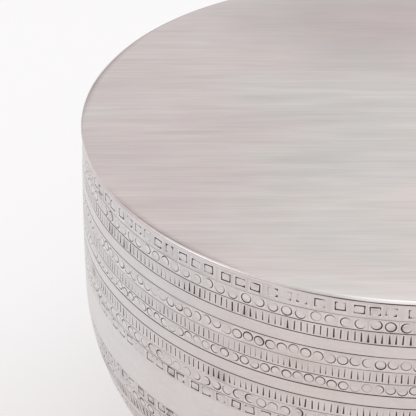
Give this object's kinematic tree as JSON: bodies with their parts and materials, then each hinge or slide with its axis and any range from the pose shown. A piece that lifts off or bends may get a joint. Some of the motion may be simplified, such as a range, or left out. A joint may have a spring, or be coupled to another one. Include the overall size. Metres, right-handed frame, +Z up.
{
  "type": "drum coffee table",
  "caption": "Round drum coffee table: brushed aluminium top on a bowl-shaped aluminium wall with bands of hand-stamped squares, circles and ticks, steel frame inside and levelling feet.",
  "frame": {"origin": "on the floor under the centre of the round top", "axes": "+Z up from the floor; -Y towards the viewer and +X to the right in the picture"},
  "size_m": [0.7065, 0.7066, 0.42],
  "materials": {
    "brushed_top": "brushed satin",
    "stamped_wall": "satin with darkened stamp marks",
    "plywood": "raw plywood",
    "stained_panel": "black stained plywood",
    "frame_steel": "black primer",
    "fastener_steel": "zinc plated",
    "foot_plastic": "moulded nylon"
  },
  "bodies": {
    "drum": {"top_plate": "brushed_top", "upper_wall": "stamped_wall", "lower_bowl": "stamped_wall", "top_core": "plywood", "base_panel": "stained_panel", "rim_ring": "frame_steel", "waist_hoop": "frame_steel", "base_ring": "frame_steel", "core_screws": "fastener_steel", "base_bolts": "fastener_steel", "base_nuts": "fastener_steel", "leveller_nuts": "fastener_steel", "rib_1": "frame_steel", "rib_2": "frame_steel", "rib_3": "frame_steel", "rib_4": "frame_steel", "rib_5": "frame_steel", "rib_6": "frame_steel"},
    "foot_1": {"foot_pad_1": "foot_plastic"},
    "stud_1": {"foot_stud_1": "fastener_steel"},
    "foot_2": {"foot_pad_2": "foot_plastic"},
    "stud_2": {"foot_stud_2": "fastener_steel"},
    "foot_3": {"foot_pad_3": "foot_plastic"},
    "stud_3": {"foot_stud_3": "fastener_steel"},
    "foot_4": {"foot_pad_4": "foot_plastic"},
    "stud_4": {"foot_stud_4": "fastener_steel"}
  },
  "joints": [
    {"name": "foot_slide_1", "type": "slide", "parent": "drum", "child": "foot_1", "axis": [0, 0, -1], "range_m": [0, 0.012]},
    {"name": "stud_turn_1", "type": "hinge", "parent": "foot_1", "child": "stud_1", "pos_m": [0.13506, 0.13506, 0.02], "axis": [0, 0, -1], "range_deg": [0, 3457]},
    {"name": "foot_slide_2", "type": "slide", "parent": "drum", "child": "foot_2", "axis": [0, 0, -1], "range_m": [0, 0.012]},
    {"name": "stud_turn_2", "type": "hinge", "parent": "foot_2", "child": "stud_2", "pos_m": [-0.13506, 0.13506, 0.02], "axis": [0, 0, -1], "range_deg": [0, 3457]},
    {"name": "foot_slide_3", "type": "slide", "parent": "drum", "child": "foot_3", "axis": [0, 0, -1], "range_m": [0, 0.012]},
    {"name": "stud_turn_3", "type": "hinge", "parent": "foot_3", "child": "stud_3", "pos_m": [-0.13506, -0.13506, 0.02], "axis": [0, 0, -1], "range_deg": [0, 3457]},
    {"name": "foot_slide_4", "type": "slide", "parent": "drum", "child": "foot_4", "axis": [0, 0, -1], "range_m": [0, 0.012]},
    {"name": "stud_turn_4", "type": "hinge", "parent": "foot_4", "child": "stud_4", "pos_m": [0.13506, -0.13506, 0.02], "axis": [0, 0, -1], "range_deg": [0, 3457]}
  ],
  "couplings": [
    {"joint": "stud_turn_1", "follows": "foot_slide_1", "rad_per_m": 5026.5},
    {"joint": "stud_turn_2", "follows": "foot_slide_2", "rad_per_m": 5026.5},
    {"joint": "stud_turn_3", "follows": "foot_slide_3", "rad_per_m": 5026.5},
    {"joint": "stud_turn_4", "follows": "foot_slide_4", "rad_per_m": 5026.5}
  ]
}
